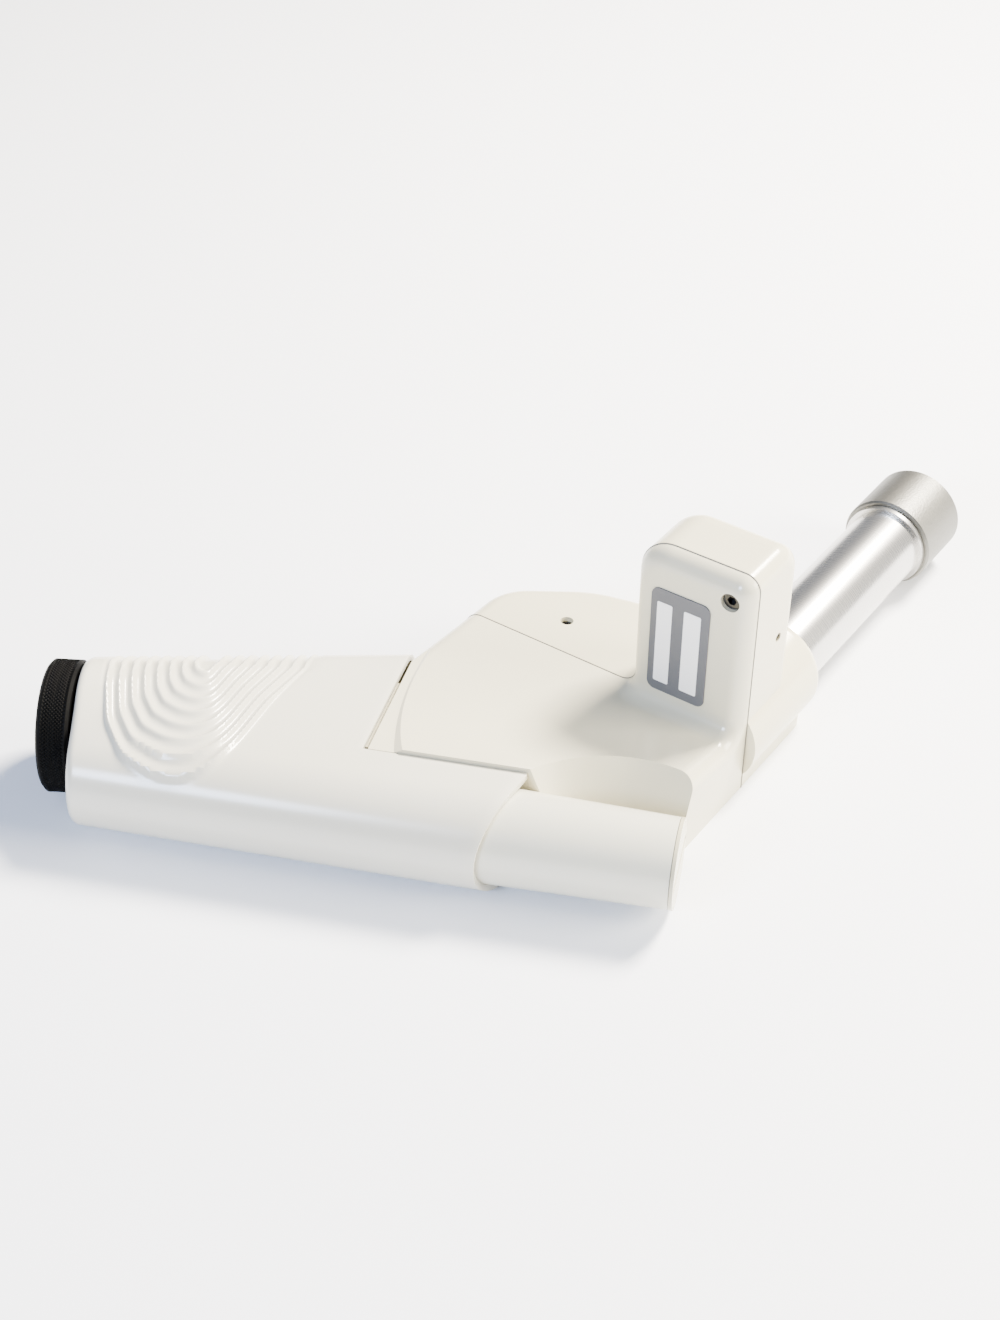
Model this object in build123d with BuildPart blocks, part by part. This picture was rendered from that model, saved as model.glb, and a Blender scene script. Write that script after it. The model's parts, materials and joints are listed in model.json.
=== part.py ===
from build123d import *
from math import cos, radians, sin
import os

# Hand-held lensmeter with a bent light path, lying on its side.  Millimetres, +Z up.
# +X runs along the battery sleeve, towards the barrel's end.  The origin is on the flat
# underside of the housing.  The eyepiece is at -X, the barrel points away to +X and +Y.

# ---------------------------------------------------------------- driving dimensions
WALL = 2.2                      # moulded wall of both housings
GRIP_WALL = 1.9

BARREL_TURN = 67.5              # barrel direction, degrees from +X
BARREL_FOOT = (58.2, 8.2)       # where the barrel axis crosses the label face, seen from above
BARREL_HEIGHT = 15.45
BARREL_R = 12.6
BARREL_BORE_R = 11.0
COLLAR_R = 15.45
COLLAR_START = 123.6            # distances along the barrel, from the label face
COLLAR_END = 147.1
RUNNING_GAP = 0.05

FOLD_AT = -9.6                  # fold mirror, on the barrel axis
SPLITTER_AT = 12.0              # beam splitter and lamp column, on the barrel axis
SEAM_AT = 5.0                   # parting plane of the two housings

RING_CENTRE = (-129.0, -33.0, 20.5)
RING_R = 19.8
RING_LENGTH = 9.4

SLEEVE_Y = -45.0
SLEEVE_Z = 16.0
SLEEVE_R = 14.0
SLEEVE_END_R = 13.0
SLEEVE_BORE_R = 11.6
SLEEVE_LEFT = -40.0
SLEEVE_RIGHT = 60.0
TAPER_START = 8.0

GRIP_OPEN = -32.6               # left edge of the cut-out that bares the housing
GRIP_SEAM_Y = -33.7
HOUSING_LEFT = -31.0
HOUSING_FRONT_Y = -33.4

TURRET_LEFT = -25.0             # sideways from the barrel axis, seen at the label face
TURRET_RIGHT = 13.5
TURRET_TOP = 78.0
TURRET_DEPTH = 29.0
LABEL_SIZE = (19.4, 37.0)
LABEL_CENTRE = (-8.5, 47.0)

BOSS_R = 17.0
BOSS_END = 47.0

POWER_TURN = 270.0              # turn of the power collar
POWER_TRAVEL = 8.0              # travel of the lens carriage over that turn

# ---------------------------------------------------------------- reference planes
barrel_dir = Vector(cos(radians(BARREL_TURN)), sin(radians(BARREL_TURN)), 0)
barrel_side = Vector(sin(radians(BARREL_TURN)), -cos(radians(BARREL_TURN)), 0)
barrel_foot = Vector(*BARREL_FOOT, 0)
fold_point = barrel_foot + barrel_dir * FOLD_AT + Vector(0, 0, BARREL_HEIGHT)
ring_centre = Vector(*RING_CENTRE)
eye_dir = (fold_point - ring_centre).normalized()
eye_side = Vector(0, 0, 1).cross(eye_dir).normalized()


def barrel_plane(at):
    """Plane across the barrel axis, y up, z along the barrel."""
    origin = barrel_foot + barrel_dir * at + Vector(0, 0, BARREL_HEIGHT)
    return Plane(origin=origin, x_dir=-barrel_side, z_dir=barrel_dir)


def face_plane(at):
    """Plane parallel to the label face: x to its right, y is height, z towards the reader."""
    return Plane(origin=barrel_foot + barrel_dir * at, x_dir=barrel_side, z_dir=-barrel_dir)


def eye_plane(at):
    """Plane across the eyepiece axis, z into the instrument, zero at the ring's outer end."""
    return Plane(origin=ring_centre + eye_dir * at, x_dir=eye_side, z_dir=eye_dir)


def plan_point(at, side):
    """Point seen from above, at a distance along the barrel and to its side."""
    spot = barrel_foot + barrel_dir * at + barrel_side * side
    return (spot.X, spot.Y)


def finish(part, label):
    """Name a finished piece and write it."""
    part.label = label
    export_step(part, f"parts/{label}.step")


def tube(plane, outer, inner, length):
    """Plain round tube or disc standing on a plane."""
    with BuildPart() as piece:
        with BuildSketch(plane):
            Circle(outer)
            if inner:
                Circle(inner, mode=Mode.SUBTRACT)
        extrude(amount=length)
    return piece.part


def lens(plane, radius, edge, bulge):
    """Biconvex lens: a short cylinder with a spherical cap of the given bulge on each side."""
    curve = (radius**2 + bulge**2) / (2 * bulge)
    half = edge / 2
    rise = (curve**2 - (radius / 2) ** 2) ** 0.5 - (curve - bulge)
    with BuildPart() as piece:
        with BuildSketch(Plane.XZ):
            with BuildLine():
                ThreePointArc((0, half + bulge), (radius / 2, half + rise), (radius, half))
                Line((radius, half), (radius, -half))
                ThreePointArc((radius, -half), (radius / 2, -half - rise), (0, -half - bulge))
                Line((0, -half - bulge), (0, half + bulge))
            make_face()
        revolve(axis=Axis.Z)
    return plane * piece.part


def socket_screw(plane, head_r, head, shank_r, shank):
    """Socket head screw, its head's top on the plane and its shank along the plane's -z."""
    with BuildPart() as piece:
        with BuildSketch(plane):
            Circle(head_r)
        extrude(amount=-head)
        with BuildSketch(plane.offset(-head)):
            Circle(shank_r)
        extrude(amount=-shank)
        with BuildSketch(plane):
            RegularPolygon(head_r * 0.55, 6)
        extrude(amount=-head * 0.6, mode=Mode.SUBTRACT)
    return piece.part


os.makedirs("parts", exist_ok=True)

# ---------------------------------------------------------------- housing form
SPARE = 4.0                     # extra width that the flat right wall is cut back from
FRONT_CORNER = plan_point(-30.0, TURRET_RIGHT + SPARE)
REAR_CORNER = plan_point(40.0, TURRET_RIGHT + SPARE)
BOSS_CORNER = plan_point(45.5, 6.0)
HOUSING_OUTLINE = [
    (HOUSING_LEFT, HOUSING_FRONT_Y),
    (30.0, HOUSING_FRONT_Y),
    FRONT_CORNER,
    REAR_CORNER,
    BOSS_CORNER,
    (61.0, 63.0),
    (15.0, 70.5),
    (-14.7, 63.8),
    (HOUSING_LEFT, 22.5),
]
OUTLINE_RADII = [0, 12.0, 0, 0, 9.0, 8.0, 40.0, 18.0, 0]
ROOF_FRONT_Z = 32.2             # along the front edge
ROOF_SEAM_Z = 22.2              # along the parting plane
ROOF_BACK_Z = 20.4              # behind the turret
ROOF_BACK_AT = 60.0
ROOF_FRONT_SPAN = (-50.0, 52.0)
ROOF_SEAM_SPAN = (-118.0, 62.0)
EDGE_R = 6.0
WALL_EDGE_R = 5.0
CLEAR_ABOVE = 100.0
FLARE_R = 5.5
TURRET_CORNER_R = 11.0
TURRET_FRONT_R = 6.0
TURRET_BACK_R = 9.0


def beside_barrel(point):
    """Coordinates of a point on the label face's own axes."""
    return face_plane(0).to_local_coords(point)


def above_roof(inset):
    """Everything over the roof: ruled from the front edge to the seam, then on to the back."""
    front = Plane.XZ.offset(-HOUSING_FRONT_Y)
    stations = [
        (front, ROOF_FRONT_SPAN, ROOF_FRONT_Z),
        (face_plane(SEAM_AT), ROOF_SEAM_SPAN, ROOF_SEAM_Z),
        (face_plane(ROOF_BACK_AT), ROOF_SEAM_SPAN, ROOF_BACK_Z),
    ]
    sections = []
    for plane, (start, end), height in stations:
        with BuildSketch(plane) as section:
            low = height - inset
            Polygon((start, low), (end, low), (end, CLEAR_ABOVE), (start, CLEAR_ABOVE), align=None)
        sections.append(section.sketch.face())
    with BuildPart() as piece:
        loft(sections)
    return piece.part


def housing_form(inset):
    """Body and lamp turret in one solid, every face moved inwards by the inset."""
    left = TURRET_LEFT + inset
    right = TURRET_RIGHT - inset
    top = TURRET_TOP - inset
    corner = TURRET_CORNER_R - inset
    with BuildPart() as tower:
        with BuildSketch(face_plane(inset)):
            with BuildLine():
                Polyline(
                    (left, top - corner), (left, inset), (right + SPARE, inset), (right + SPARE, top)
                )
                Line((right + SPARE, top), (left + corner, top))
                JernArc((left + corner, top), (-1, 0), corner, 90)
            make_face()
        extrude(amount=-(TURRET_DEPTH - 2 * inset))
        for at, radius in ((inset, TURRET_FRONT_R), (TURRET_DEPTH - inset, TURRET_BACK_R)):
            rim = [
                edge
                for edge in tower.edges()
                if abs(beside_barrel(edge @ 0.5).Z + at) < 0.1
                and inset + 1 < beside_barrel(edge @ 0.5).Y
                and beside_barrel(edge @ 0.5).X < right + 1
            ]
            fillet(rim, radius - inset)

    with BuildPart() as form:
        with BuildSketch(Plane.XY.offset(inset)):
            with BuildLine():
                FilletPolyline(*HOUSING_OUTLINE, radius=OUTLINE_RADII, close=True)
            make_face()
            if inset:
                offset(amount=-inset)
        extrude(amount=TURRET_TOP)
        add(above_roof(inset), mode=Mode.SUBTRACT)
        back_rim = [
            edge
            for edge in form.edges()
            if edge.geom_type != GeomType.LINE and (edge @ 0.5).Z > 15 and (edge @ 0.5).Y > 23
        ]
        fillet(back_rim, EDGE_R - inset)
        add(tower.part)
        flare = []
        for edge in form.edges():
            spot = beside_barrel(edge @ 0.5)
            along = left - 1 < spot.X < right + SPARE - 0.1
            across = inset - 0.1 < -spot.Z < TURRET_DEPTH - inset + 0.1
            if along and across and 15 < spot.Y < 33 and edge.geom_type != GeomType.LINE:
                flare.append(edge)
        fillet(flare, FLARE_R)
        cut = Plane(origin=barrel_foot + barrel_side * right, z_dir=barrel_side)
        split(bisect_by=cut, keep=Keep.BOTTOM)
        wall = form.faces().filter_by(GeomType.PLANE).sort_by(lambda f: -beside_barrel(f.center()).X)[0]
        rim = [edge for edge in wall.edges() if beside_barrel(edge @ 0.5).Y > 18]
        fillet(rim, WALL_EDGE_R - inset)
    return form.part


SCOOP_TOP = 34.0
SCOOP_DRAFT = 18
SCOOP_LEFT = (15.0, -35.0)
SCOOP_DEEPEST = (46.0, -12.6)
SCOOP_RIGHT = (68.5, -21.0)


def scoop(grow):
    """Hollow in the housing's side beside the battery sleeve, with the sleeve's own room."""
    with BuildPart() as piece:
        with BuildSketch(Plane.XY.offset(SCOOP_TOP)):
            with BuildLine():
                ThreePointArc(SCOOP_LEFT, SCOOP_DEEPEST, SCOOP_RIGHT)
                Polyline(SCOOP_RIGHT, (SCOOP_RIGHT[0] + 22, -64), (SCOOP_LEFT[0] - 8, -64), SCOOP_LEFT)
            make_face()
            if grow:
                offset(amount=grow)
        extrude(amount=-SCOOP_TOP - 4, taper=SCOOP_DRAFT)
        with BuildSketch(Plane.YZ.offset(HOUSING_LEFT - 1)):
            with Locations((SLEEVE_Y, SLEEVE_Z)):
                Circle(SLEEVE_R + grow)
        extrude(amount=SLEEVE_RIGHT - HOUSING_LEFT + 10)
    return piece.part


outer = housing_form(0)
inner = housing_form(WALL)
seam = Plane(origin=barrel_foot + barrel_dir * SEAM_AT, z_dir=barrel_dir)

with BuildPart() as cavity:
    add(inner)
    add(scoop(WALL), mode=Mode.SUBTRACT)

# ---------------------------------------------------------------- front housing
# The housing's lip is level with the grip's top face, which falls away from the sleeve.
GRIP_TOP_EDGE = (GRIP_SEAM_Y, 30.68)
GRIP_TOP_SLOPE = 7.28
LIP_ARC = ((-22.5, -3.0), (-28.0, 27.0), (-27.0, 62.0))
LIP_BEVEL = 58
TONGUE_LEFT = -62.0
TONGUE_WALL = 2.0
TONGUE_OUTLINE = [(-29.5, 3.2), (0.0, 4.6), (6.0, 8.0), (6.0, 22.6), (-29.5, 27.5)]
COVER_SCREW = (6.8, 69.8)
COVER_SCREW_HEAD_R = 2.7
COVER_SCREW_SINK = 1.2
COVER_SCREW_SEAT = 4.0
COVER_SCREW_HOLE_R = 1.7
COVER_BOSS_R = 4.2
LIP_CUT = 4.0
LIP_FAR_LEFT = -45.0

with BuildPart() as front_housing:
    add(outer)
    add(scoop(0), mode=Mode.SUBTRACT)
    split(bisect_by=seam, keep=Keep.BOTTOM)
    add(cavity.part, mode=Mode.SUBTRACT)
    with BuildSketch(
        Plane(
            origin=(0, *GRIP_TOP_EDGE),
            x_dir=(1, 0, 0),
            z_dir=(0, sin(radians(GRIP_TOP_SLOPE)), cos(radians(GRIP_TOP_SLOPE))),
        )
    ):
        with BuildLine():
            ThreePointArc(*LIP_ARC)
            Polyline(LIP_ARC[2], (LIP_FAR_LEFT, LIP_ARC[2][1]), (LIP_FAR_LEFT, LIP_ARC[0][1]), LIP_ARC[0])
        make_face()
    extrude(amount=LIP_CUT, taper=-LIP_BEVEL, mode=Mode.SUBTRACT)
    with BuildSketch(Plane.YZ.offset(TONGUE_LEFT)):
        Polygon(*TONGUE_OUTLINE, align=None)
    extrude(amount=HOUSING_LEFT - TONGUE_LEFT + WALL)
    with BuildSketch(Plane.YZ.offset(TONGUE_LEFT)):
        Polygon(*TONGUE_OUTLINE, align=None)
        offset(amount=-TONGUE_WALL, kind=Kind.INTERSECTION, mode=Mode.REPLACE)
    extrude(amount=HOUSING_LEFT - TONGUE_LEFT + WALL + 1, mode=Mode.SUBTRACT)
    with BuildSketch(face_plane(SEAM_AT)):
        with Locations(COVER_SCREW):
            Circle(COVER_BOSS_R)
    extrude(amount=SEAM_AT - 1)
    with BuildSketch(face_plane(0)):
        with Locations(COVER_SCREW):
            Circle(COVER_SCREW_HEAD_R + 0.3)
    extrude(amount=-COVER_SCREW_SEAT, mode=Mode.SUBTRACT)
    with BuildSketch(face_plane(0)):
        with Locations(COVER_SCREW):
            Circle(COVER_SCREW_HOLE_R)
    extrude(amount=-SEAM_AT, mode=Mode.SUBTRACT)
finish(front_housing.part, "front_housing")

# ---------------------------------------------------------------- rear housing
BOSS_NOSE_R = 4.0
BOSS_WINDOW_R = 10.0            # opening in the boss's closed front end
LAMP_X, LAMP_Y = plan_point(SPLITTER_AT, 0)
PANEL_SCREW = (10.5, 49.0)
PANEL_SCREW_TOP = 19.6
SIDE_SCREW = (19.4, 48.2)       # along the barrel, and height
SIDE_SCREW_HOLE_R = 1.5
POST_R = 4.7
POST_LENGTH = 12.0
POST_THREAD_DEPTH = 10.0
PANEL_THREAD_DEPTH = 12.0
PANEL_HEAD_HOLE_R = 2.1
PANEL_HEAD_SEAT = 2.0
LIGHT_HOLE_R = 6.0
CLEAR = 4.0                     # how far a cutter starts outside the surface
THREAD_R = 1.25

with BuildPart() as boss:
    with BuildSketch(barrel_plane(SEAM_AT)):
        Circle(BOSS_R)
    extrude(amount=BOSS_END - SEAM_AT)
    nose = boss.faces().sort_by(Axis(origin=(0, 0, 0), direction=barrel_dir))[-1]
    fillet(nose.edges(), BOSS_NOSE_R)
    split(bisect_by=Plane.XY, keep=Keep.TOP)

with BuildPart() as rear_housing:
    add(outer)
    split(bisect_by=seam, keep=Keep.TOP)
    add(cavity.part, mode=Mode.SUBTRACT)
    add(boss.part)
    with BuildSketch(barrel_plane(SEAM_AT + WALL)):
        Circle(BARREL_R)
    extrude(amount=BOSS_END, mode=Mode.SUBTRACT)
    with BuildSketch(barrel_plane(SEAM_AT - 1)):
        Circle(BOSS_WINDOW_R)
    extrude(amount=WALL + 2, mode=Mode.SUBTRACT)
    with BuildSketch(Plane.XY.offset(BARREL_HEIGHT)):
        with Locations((LAMP_X, LAMP_Y)):
            Circle(LIGHT_HOLE_R)
    extrude(amount=BOSS_R + 2, mode=Mode.SUBTRACT)
    with BuildSketch(face_plane(SEAM_AT)):
        with Locations(COVER_SCREW):
            Circle(POST_R)
    extrude(amount=-POST_LENGTH)
    with BuildSketch(face_plane(SEAM_AT)):
        with Locations(COVER_SCREW):
            Circle(THREAD_R)
    extrude(amount=-POST_THREAD_DEPTH, mode=Mode.SUBTRACT)
    with BuildSketch(Plane.XY.offset(1)):
        with Locations(PANEL_SCREW):
            Circle(POST_R)
    extrude(amount=PANEL_SCREW_TOP - 1)
    with BuildSketch(Plane.XY.offset(PANEL_SCREW_TOP + CLEAR)):
        with Locations(PANEL_SCREW):
            Circle(PANEL_HEAD_HOLE_R)
    extrude(amount=-CLEAR - PANEL_HEAD_SEAT, mode=Mode.SUBTRACT)
    with BuildSketch(Plane.XY.offset(PANEL_SCREW_TOP + CLEAR)):
        with Locations(PANEL_SCREW):
            Circle(THREAD_R)
    extrude(amount=-CLEAR - PANEL_THREAD_DEPTH, mode=Mode.SUBTRACT)
    with BuildSketch(
        Plane(
            origin=barrel_foot
            + barrel_dir * SIDE_SCREW[0]
            + barrel_side * TURRET_RIGHT
            + Vector(0, 0, SIDE_SCREW[1]),
            z_dir=barrel_side,
        )
    ):
        Circle(SIDE_SCREW_HOLE_R)
    extrude(amount=-WALL - 1, mode=Mode.SUBTRACT)
finish(rear_housing.part, "rear_housing")

# ---------------------------------------------------------------- label and screws
LABEL_THICKNESS = 0.4
LABEL_CORNER_R = 2.6
SIDE_SCREW_SINK = 0.6

with BuildPart() as label_plate:
    with BuildSketch(face_plane(0)):
        with Locations(LABEL_CENTRE):
            RectangleRounded(*LABEL_SIZE, LABEL_CORNER_R)
    extrude(amount=LABEL_THICKNESS)
finish(label_plate.part, "label_plate")

cover_seat = Plane(face_plane(COVER_SCREW_SINK).location * Location((*COVER_SCREW, 0)))
finish(socket_screw(cover_seat, COVER_SCREW_HEAD_R, 2.8, THREAD_R, 10), "cover_screw")

panel_seat = Plane(origin=(*PANEL_SCREW, PANEL_SCREW_TOP), z_dir=(0, 0, 1))
finish(socket_screw(panel_seat, 1.9, 2.0, THREAD_R, 9), "panel_screw")

side_seat = Plane(
    origin=barrel_foot
    + barrel_dir * SIDE_SCREW[0]
    + barrel_side * (TURRET_RIGHT - SIDE_SCREW_SINK)
    + Vector(0, 0, SIDE_SCREW[1]),
    z_dir=barrel_side,
)
finish(socket_screw(side_seat, 1.4, 1.6, 0.9, 4), "side_screw")

# ---------------------------------------------------------------- barrel
TUBE_START = 20.0
NUT_LENGTH = 3.0
NUT_BORE_R = 10.0
STEP_RING_R = 14.0
STEP_RING_LENGTH = 2.0
STEP_RING_AT = COLLAR_START - STEP_RING_LENGTH - 0.2
TUBE_END = 144.6
PIN_R = 1.0
PIN_AT = 133.0
SLOT_R = 1.15
SLOT_SPARE = 0.4
POWER_RATE = POWER_TRAVEL / radians(POWER_TURN)

with BuildPart() as barrel_tube:
    with BuildSketch(barrel_plane(TUBE_START)):
        Circle(BARREL_R)
        Circle(BARREL_BORE_R, mode=Mode.SUBTRACT)
    extrude(amount=TUBE_END - TUBE_START)
    slot_plane = Plane(
        origin=barrel_foot + barrel_dir * PIN_AT + Vector(0, 0, BARREL_HEIGHT),
        x_dir=barrel_dir,
        z_dir=(0, 0, 1),
    )
    with BuildSketch(slot_plane):
        SlotCenterToCenter(POWER_TRAVEL + SLOT_SPARE, 2 * SLOT_R)
    extrude(amount=COLLAR_R, mode=Mode.SUBTRACT)
finish(barrel_tube.part, "barrel_tube")
finish(tube(barrel_plane(TUBE_START - NUT_LENGTH), BARREL_R - 0.1, NUT_BORE_R, NUT_LENGTH), "barrel_nut")
finish(tube(barrel_plane(STEP_RING_AT), STEP_RING_R, BARREL_R, STEP_RING_LENGTH), "step_ring")

# ---------------------------------------------------------------- power collar
MOUTH_R = 9.0
MOUTH_DEPTH = 2.1
REST_R = 13.0
REST_DEPTH = 0.6
REST_THICKNESS = 1.4
COLLAR_CHAMFER = 0.6
GROOVE_DEPTH_R = 14.1
GROOVE_WIDTH = 2.6
GROOVE_TURN = 292.0

pitch = POWER_RATE * radians(360)
groove_height = pitch * GROOVE_TURN / 360
groove_start = radians(90 - GROOVE_TURN / 2)
groove_plane = Plane(
    origin=barrel_plane(PIN_AT - groove_height / 2).origin,
    x_dir=-barrel_side * cos(groove_start) + Vector(0, 0, sin(groove_start)),
    z_dir=barrel_dir,
)
helix = groove_plane * Helix(pitch, groove_height, (BARREL_R + GROOVE_DEPTH_R) / 2)
with BuildPart() as power_collar:
    with BuildSketch(barrel_plane(COLLAR_START)):
        Circle(COLLAR_R)
    extrude(amount=COLLAR_END - COLLAR_START)
    chamfer(power_collar.edges().filter_by(GeomType.CIRCLE), COLLAR_CHAMFER)
    with BuildSketch(barrel_plane(COLLAR_START)):
        Circle(BARREL_R + RUNNING_GAP)
    extrude(amount=COLLAR_END - COLLAR_START - MOUTH_DEPTH, mode=Mode.SUBTRACT)
    with BuildSketch(barrel_plane(COLLAR_START)):
        Circle(MOUTH_R)
    extrude(amount=COLLAR_END - COLLAR_START, mode=Mode.SUBTRACT)
    with BuildSketch(barrel_plane(COLLAR_END)):
        Circle(REST_R)
    extrude(amount=-REST_DEPTH, mode=Mode.SUBTRACT)
    with BuildSketch(Plane(origin=helix @ 0, x_dir=groove_plane.x_dir, z_dir=helix % 0)):
        Rectangle(GROOVE_DEPTH_R - BARREL_R + 0.6, GROOVE_WIDTH)
    sweep(path=helix, is_frenet=True, mode=Mode.SUBTRACT)
finish(power_collar.part, "power_collar")
finish(tube(barrel_plane(COLLAR_END - REST_DEPTH), REST_R, MOUTH_R + 0.5, REST_THICKNESS), "lens_rest")

# ---------------------------------------------------------------- measuring lens carriage
CARRIAGE_LENGTH = 10.0
CARRIAGE_BORE_R = 8.5
PIN_FOOT_R = CARRIAGE_BORE_R + 0.3
PIN_TOP_R = GROOVE_DEPTH_R - 0.4

with BuildPart() as carriage:
    with BuildSketch(barrel_plane(PIN_AT - CARRIAGE_LENGTH / 2)):
        Circle(BARREL_BORE_R - RUNNING_GAP)
        Circle(CARRIAGE_BORE_R, mode=Mode.SUBTRACT)
    extrude(amount=CARRIAGE_LENGTH)
    with BuildSketch(slot_plane):
        Circle(PIN_R)
    extrude(amount=COLLAR_R, mode=Mode.SUBTRACT)
finish(carriage.part, "carriage")
finish(lens(barrel_plane(PIN_AT), CARRIAGE_BORE_R, 2.0, 1.2), "measuring_lens")
finish(tube(slot_plane.offset(PIN_FOOT_R), PIN_R, 0, PIN_TOP_R - PIN_FOOT_R), "drive_pin")

# ---------------------------------------------------------------- fold mirror and splitter
MIRROR_SIZE = (16.0, 10.5)
MIRROR_THICKNESS = 1.5
BRACKET_THICKNESS = 1.6
BRACKET_FOOT = 5.0               # depth of the bracket's post, front to back
mirror_normal = (barrel_dir - eye_dir).normalized()
mirror_plane = Plane(origin=fold_point, x_dir=mirror_normal.cross(Vector(0, 0, 1)), z_dir=mirror_normal)

with BuildPart() as fold_mirror:
    with BuildSketch(mirror_plane):
        Rectangle(*MIRROR_SIZE)
    extrude(amount=-MIRROR_THICKNESS)
finish(fold_mirror.part, "fold_mirror")

with BuildPart() as mirror_bracket:
    with BuildSketch(mirror_plane.offset(-MIRROR_THICKNESS)):
        Rectangle(*MIRROR_SIZE)
    extrude(amount=-BRACKET_THICKNESS)
    with BuildSketch(
        Plane(origin=(fold_point.X, fold_point.Y, WALL), x_dir=mirror_plane.x_dir, z_dir=(0, 0, 1))
    ):
        with Locations((0, -MIRROR_THICKNESS - BRACKET_FOOT / 2 - 0.5)):
            Rectangle(MIRROR_SIZE[0], BRACKET_FOOT)
    extrude(amount=fold_point.Z - MIRROR_SIZE[1] / 2 - WALL + 0.5)
finish(mirror_bracket.part, "mirror_bracket")

SPLITTER_MOUNT_R = BARREL_R - 0.1
SPLITTER_MOUNT_LENGTH = 9.4
SPLITTER_BORE_R = 9.0
SPLITTER_TALL = 11.0
SPLITTER_THICKNESS = 1.2
SPLITTER_LIGHT_R = 4.0
splitter_plane = Plane(
    origin=barrel_foot + barrel_dir * SPLITTER_AT + Vector(0, 0, BARREL_HEIGHT),
    x_dir=barrel_side,
    z_dir=barrel_dir + Vector(0, 0, 1),
)
with BuildPart() as beam_splitter:
    with BuildSketch(splitter_plane):
        Rectangle(2 * SPLITTER_BORE_R + 1.0, SPLITTER_TALL)
    extrude(amount=SPLITTER_THICKNESS / 2, both=True)
finish(beam_splitter.part, "beam_splitter")

with BuildPart() as splitter_mount:
    with BuildSketch(barrel_plane(SPLITTER_AT - SPLITTER_MOUNT_LENGTH / 2)):
        Circle(SPLITTER_MOUNT_R)
        Circle(SPLITTER_BORE_R, mode=Mode.SUBTRACT)
    extrude(amount=SPLITTER_MOUNT_LENGTH)
    with BuildSketch(Plane.XY.offset(BARREL_HEIGHT)):
        with Locations((LAMP_X, LAMP_Y)):
            Circle(SPLITTER_LIGHT_R)
    extrude(amount=SPLITTER_MOUNT_R, mode=Mode.SUBTRACT)
    add(beam_splitter.part, mode=Mode.SUBTRACT)
finish(splitter_mount.part, "splitter_mount")

# ---------------------------------------------------------------- lamp column in the turret
COLUMN_R = 8.2
COLUMN_BORE_R = 7.0
COLUMN_FOOT = BARREL_HEIGHT + BOSS_R
COLUMN_TOP = 50.0
LAMP_TOP = 58.0
TARGET_AT = 36.0
FILTER_AT = 40.0
CONDENSER_AT = 44.5
HOLDER_R = 5.5
HOLDER_HEIGHT = 5.0
ARM_WIDTH = 6.0
ARM_HEIGHT = 2.5
LAMP_BASE_R = 3.0
LAMP_BASE_DEPTH = 3.5           # inside the holder
LAMP_BASE_LENGTH = 6.5
LAMP_BULB_R = 3.4
LAMP_BULB_AT = LAMP_TOP - 5.0


def lamp_plane(height):
    """Level plane centred on the lamp column."""
    return Plane(origin=(LAMP_X, LAMP_Y, height), x_dir=barrel_side, z_dir=(0, 0, 1))


finish(tube(lamp_plane(COLUMN_FOOT), COLUMN_R, COLUMN_BORE_R, COLUMN_TOP - COLUMN_FOOT), "lamp_column")
finish(tube(lamp_plane(TARGET_AT), COLUMN_BORE_R, 0, 1.2), "target_plate")
finish(tube(lamp_plane(FILTER_AT), COLUMN_BORE_R, 0, 1.5), "green_filter")
finish(lens(lamp_plane(CONDENSER_AT), COLUMN_BORE_R, 1.6, 1.6), "condenser_lens")

with BuildPart() as lamp_holder:
    with BuildSketch(lamp_plane(LAMP_TOP)):
        Circle(HOLDER_R)
    extrude(amount=HOLDER_HEIGHT)
    with BuildSketch(lamp_plane(LAMP_TOP)):
        with Locations(((TURRET_RIGHT - WALL) / 2, 0)):
            Rectangle(TURRET_RIGHT - WALL, ARM_WIDTH)
    extrude(amount=ARM_HEIGHT)
    with BuildSketch(lamp_plane(LAMP_TOP)):
        Circle(LAMP_BASE_R)
    extrude(amount=LAMP_BASE_DEPTH, mode=Mode.SUBTRACT)
finish(lamp_holder.part, "lamp_holder")

with BuildPart() as lamp:
    with BuildSketch(lamp_plane(LAMP_TOP + LAMP_BASE_DEPTH - LAMP_BASE_LENGTH)):
        Circle(LAMP_BASE_R)
    extrude(amount=LAMP_BASE_LENGTH)
    with Locations(lamp_plane(LAMP_BULB_AT).location):
        Sphere(LAMP_BULB_R)
finish(lamp.part, "lamp")

# ---------------------------------------------------------------- battery sleeve and cells
CELL_R = 11.25
CELL_LENGTH = 42.5
CELL_PIP_R = 3.0
CELL_PIP = 1.0
CELL_PITCH = CELL_LENGTH + CELL_PIP + 0.2
CONTACT_R = 8.0
CONTACT_THICKNESS = 0.6
SPRING_R = 6.0
SPRING_WIRE_R = 0.35
SPRING_PITCH = 1.6
SPRING_CLEAR = 0.4              # between the wire's centre line and what it touches
SLEEVE_END_WALL = 1.5
GROOVE_R = 12.35
GROOVE_SPAN = (55.0, 57.4)
LUG_SPAN = (55.3, 57.1)
LUG_WIDTH = 3.0


def sleeve_plane(x):
    """Plane across the battery sleeve."""
    return Plane(origin=(x, SLEEVE_Y, SLEEVE_Z), x_dir=(0, 1, 0), z_dir=(1, 0, 0))


def sleeve_piece(x, outer_r, length, label, inner_r=0):
    """Round piece on the sleeve's axis."""
    finish(tube(sleeve_plane(x), outer_r, inner_r, length), label)


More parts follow.
